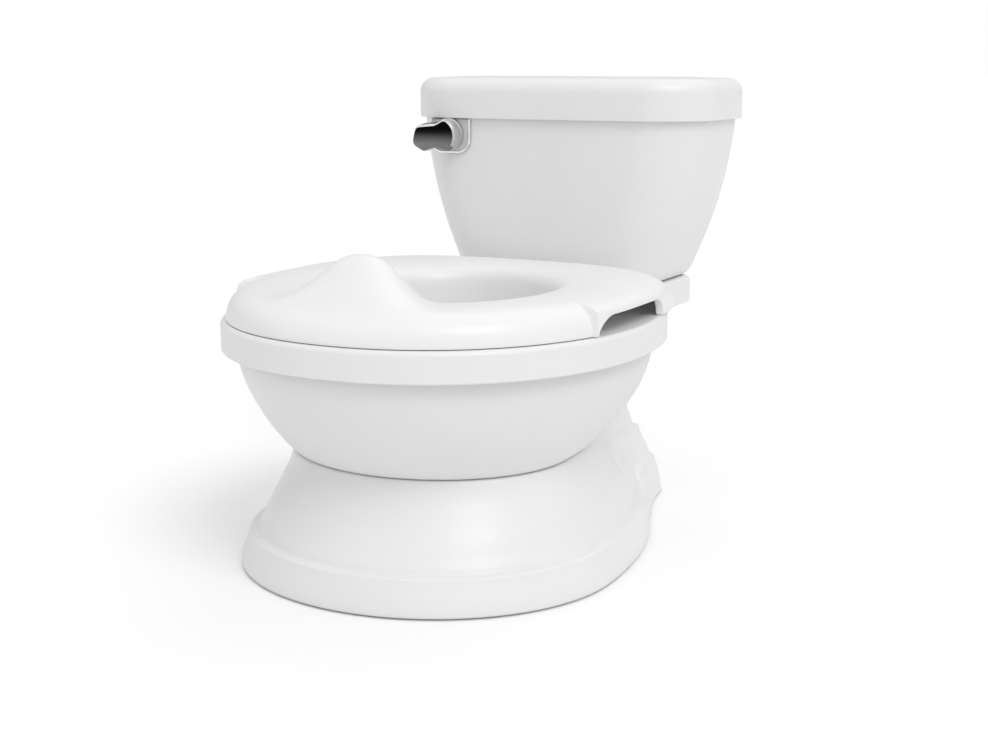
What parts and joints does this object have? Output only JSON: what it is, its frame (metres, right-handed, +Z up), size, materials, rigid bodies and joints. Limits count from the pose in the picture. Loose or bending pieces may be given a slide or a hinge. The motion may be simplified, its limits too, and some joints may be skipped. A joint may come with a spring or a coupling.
{
  "type": "potty training chair",
  "caption": "Child's potty training chair shaped like a small toilet, with a lift-out pot, a seat topper with splash guard, a lidded tank and a flush lever that works a sound module.",
  "frame": {"origin": "centre of the footprint, on the floor", "axes": "+Z up, -Y towards the front of the seat, +Y towards the tank, +X to the right seen from the front"},
  "size_m": [0.29, 0.416, 0.3245],
  "materials": {
    "body_plastic": "satin white moulded polypropylene",
    "seat_plastic": "smooth satin white moulded polypropylene",
    "lever_chrome": "mirror chrome plating on ABS",
    "grey_plastic": "light grey moulded plastic",
    "dark_plastic": "matt black moulded plastic",
    "rubber": "soft matt light grey rubber",
    "steel": "zinc plated steel",
    "board": "green solder resist on glass fibre board",
    "battery_skin": "plain shrink sleeve, no markings"
  },
  "bodies": {
    "root": {"pedestal": "body_plastic", "bowl_shell": "body_plastic", "rim_ring": "body_plastic", "tank_body": "body_plastic", "wipes_tray": "body_plastic", "lever_escutcheon": "grey_plastic", "sound_module_housing": "dark_plastic", "sound_module_cover": "dark_plastic", "speaker": "dark_plastic", "switch_body": "dark_plastic", "battery_box": "dark_plastic", "lever_return_spring": "steel", "module_screw_1": "steel", "module_screw_2": "steel", "battery_spring_1": "steel", "battery_spring_2": "steel", "battery_spring_3": "steel", "battery_contact_strip": "steel", "base_screw_1": "steel", "base_screw_2": "steel", "base_screw_3": "steel", "base_screw_4": "steel", "tank_screw_1": "steel", "tank_screw_2": "steel", "circuit_board": "board", "battery_1": "battery_skin", "battery_2": "battery_skin", "battery_3": "battery_skin", "rubber_foot_1": "rubber", "rubber_foot_2": "rubber", "rubber_foot_3": "rubber", "rubber_foot_4": "rubber"},
    "pot": {"pot": "body_plastic"},
    "seat_topper": {"seat_topper": "seat_plastic", "topper_pad_1": "rubber", "topper_pad_2": "rubber", "topper_pad_3": "rubber", "topper_pad_4": "rubber"},
    "tank_lid": {"tank_lid": "body_plastic"},
    "flush_handle": {"flush_lever": "lever_chrome", "lever_collar": "lever_chrome", "lever_spindle": "steel", "lever_cam": "dark_plastic", "lever_cam_screw": "steel"},
    "plunger": {"switch_plunger": "seat_plastic"},
    "battery_door": {"battery_door": "body_plastic", "battery_door_screw": "steel"}
  },
  "joints": [
    {"name": "pot_lift", "type": "slide", "parent": "root", "child": "pot", "axis": [0, -0.1191, 0.9929], "range_m": [0, 0.1]},
    {"name": "seat_topper_lift", "type": "slide", "parent": "pot", "child": "seat_topper", "axis": [0, -0.1191, 0.9929], "range_m": [0, 0.07]},
    {"name": "tank_lid_lift", "type": "slide", "parent": "root", "child": "tank_lid", "axis": [0, 0, 1], "range_m": [0, 0.06]},
    {"name": "flush_handle_turn", "type": "hinge", "parent": "root", "child": "flush_handle", "pos_m": [-0.077, 0.09, 0.281], "axis": [0, -1, 0], "range_deg": [0, 25], "stiffness_Nm_per_rad": 0.12, "springref_deg": -20.05},
    {"name": "switch_plunger_travel", "type": "slide", "parent": "root", "child": "plunger", "axis": [1, 0, 0], "range_m": [0, 0.005]},
    {"name": "battery_door_slide", "type": "slide", "parent": "root", "child": "battery_door", "axis": [0, 1, 0], "range_m": [0, 0.04]}
  ],
  "couplings": [
    {"joint": "switch_plunger_travel", "follows": "flush_handle_turn", "m_per_rad": 0.0105}
  ]
}
